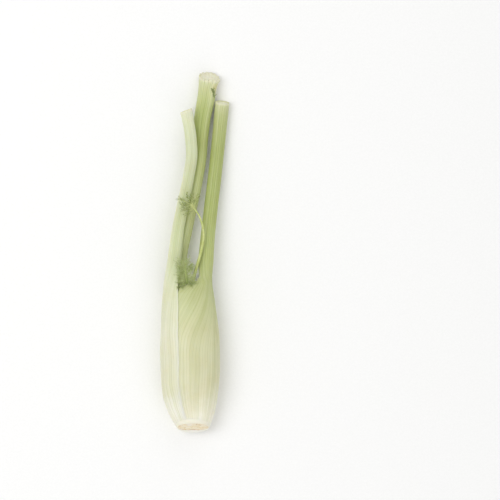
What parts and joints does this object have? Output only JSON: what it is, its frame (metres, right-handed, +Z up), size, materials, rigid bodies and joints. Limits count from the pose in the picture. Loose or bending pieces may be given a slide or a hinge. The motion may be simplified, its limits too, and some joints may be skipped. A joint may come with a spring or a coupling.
{
  "type": "fennel bulb",
  "caption": "Slender young fennel bulb lying on its side, with a slanting cut base, overlapping ribbed sheaths, trimmed stalks and a little feathery green.",
  "frame": {"origin": "on the surface that the bulb lies on, under the middle of its bounding box", "axes": "+Y from the cut base to the cut stalk tips, +Z up from the surface, +X to the right as seen from above with the stalks pointing away"},
  "size_m": [0.0418, 0.2178, 0.0259],
  "materials": {
    "fennel_flesh": "satin, slightly waxy",
    "cut_stem": "dry, matt",
    "frond_green": "matt"
  },
  "bodies": {
    "root": {"base_plate": "cut_stem", "leaf_left": "fennel_flesh", "leaf_right": "fennel_flesh", "leaf_middle": "fennel_flesh", "frond_crotch": "frond_green", "frond_long": "frond_green", "frond_stub": "frond_green"}
  },
  "joints": []
}
